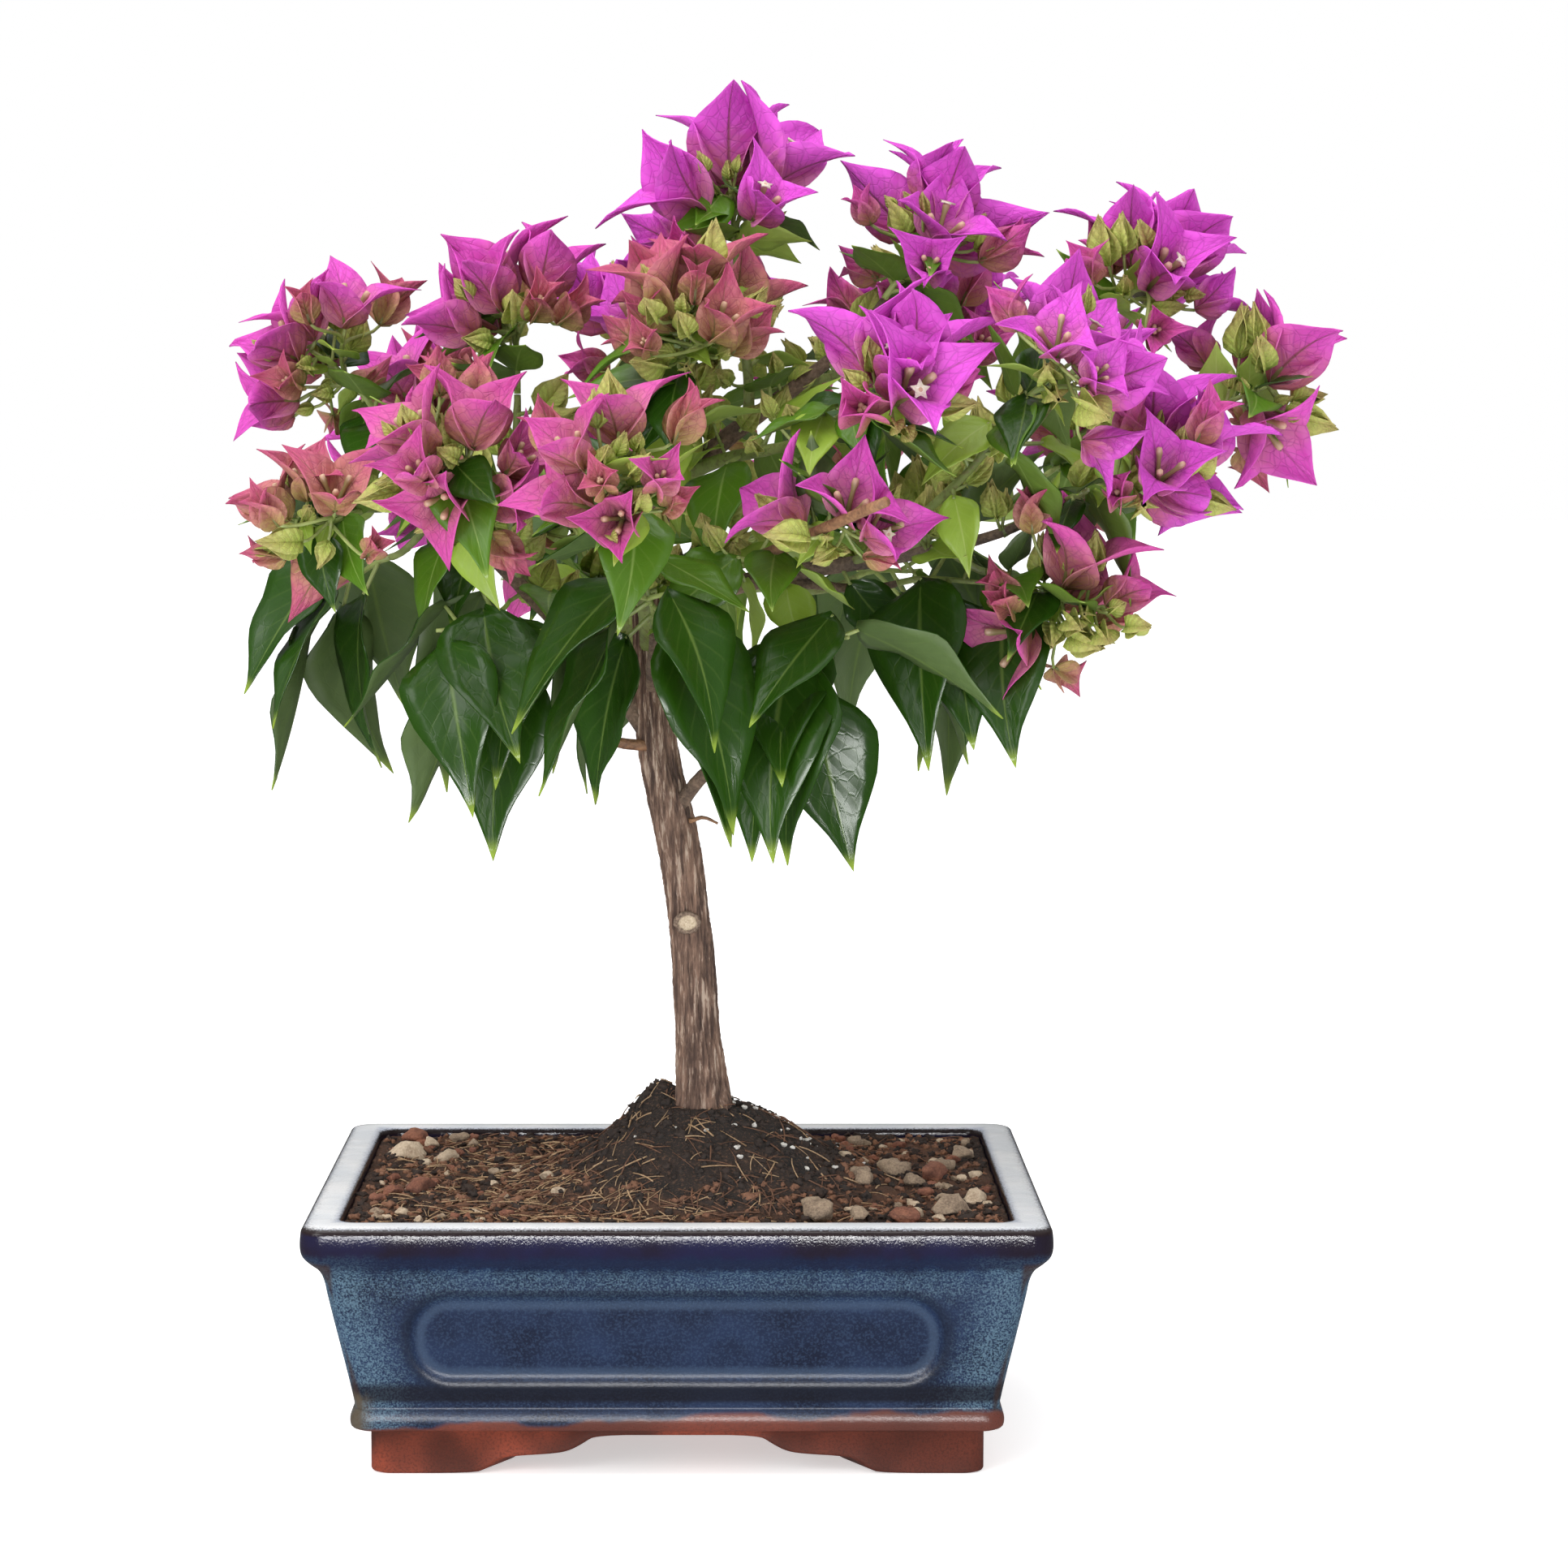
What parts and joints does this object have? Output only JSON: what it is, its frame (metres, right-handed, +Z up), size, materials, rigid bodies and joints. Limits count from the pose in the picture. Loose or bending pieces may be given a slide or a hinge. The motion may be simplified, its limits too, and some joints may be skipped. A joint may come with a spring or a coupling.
{
  "type": "potted flowering bonsai",
  "caption": "Small flowering bonsai with a leaning trunk, spreading boughs, bright papery bracts and drooping leaves, standing in a soil-filled rectangular glazed pot on bracket feet.",
  "frame": {"origin": "on the ground that the feet stand on, under the middle of the plant's box", "axes": "+Z up along the height, +X along the long wall of the pot, -Y is the front"},
  "size_m": [0.3198, 0.2515, 0.377],
  "materials": {
    "glaze": "mottled blue gloss glaze over red clay",
    "soil": "matt, loose",
    "bark": "rough fibrous bark",
    "blossom": "thin papery satin",
    "foliage": "leathery gloss"
  },
  "bodies": {
    "root": {"pot": "glaze", "soil": "soil", "trunk": "bark", "bough_leader": "bark", "bough_left": "bark", "bough_right": "bark", "bough_spire": "bark", "bough_right_top": "bark", "bough_far_right": "bark", "bough_right_front": "bark", "bough_right_low": "bark", "bough_centre_right": "bark", "bough_centre": "bark", "bough_centre_left": "bark", "bough_mid_left": "bark", "bough_left_upper": "bark", "bough_left_front": "bark", "bough_far_left": "bark", "bough_back_left": "bark", "bough_back_upper": "bark", "bough_back_right": "bark", "bough_back_crest": "bark", "bough_back_middle": "bark", "bough_back_low": "bark", "bough_skirt_left": "bark", "bough_skirt_far_left": "bark", "bough_skirt_front": "bark", "bough_skirt_right_front": "bark", "bough_skirt_right": "bark", "bough_skirt_back": "bark", "bough_skirt_back_right": "bark", "mass_leader": "blossom", "mass_left": "blossom", "mass_right": "blossom", "mass_spire": "blossom", "mass_right_top": "blossom", "mass_far_right": "blossom", "mass_right_front": "blossom", "mass_right_low": "blossom", "mass_centre_right": "blossom", "mass_centre": "blossom", "mass_centre_left": "blossom", "mass_mid_left": "blossom", "mass_left_upper": "blossom", "mass_left_front": "blossom", "mass_far_left": "blossom", "mass_back_left": "blossom", "mass_back_upper": "blossom", "mass_back_right": "blossom", "mass_back_crest": "blossom", "mass_back_middle": "blossom", "mass_back_low": "blossom", "mass_skirt_left": "foliage", "mass_skirt_far_left": "foliage", "mass_skirt_front": "foliage", "mass_skirt_right_front": "foliage", "mass_skirt_right": "foliage", "mass_skirt_back": "foliage", "mass_skirt_back_right": "foliage"}
  },
  "joints": []
}
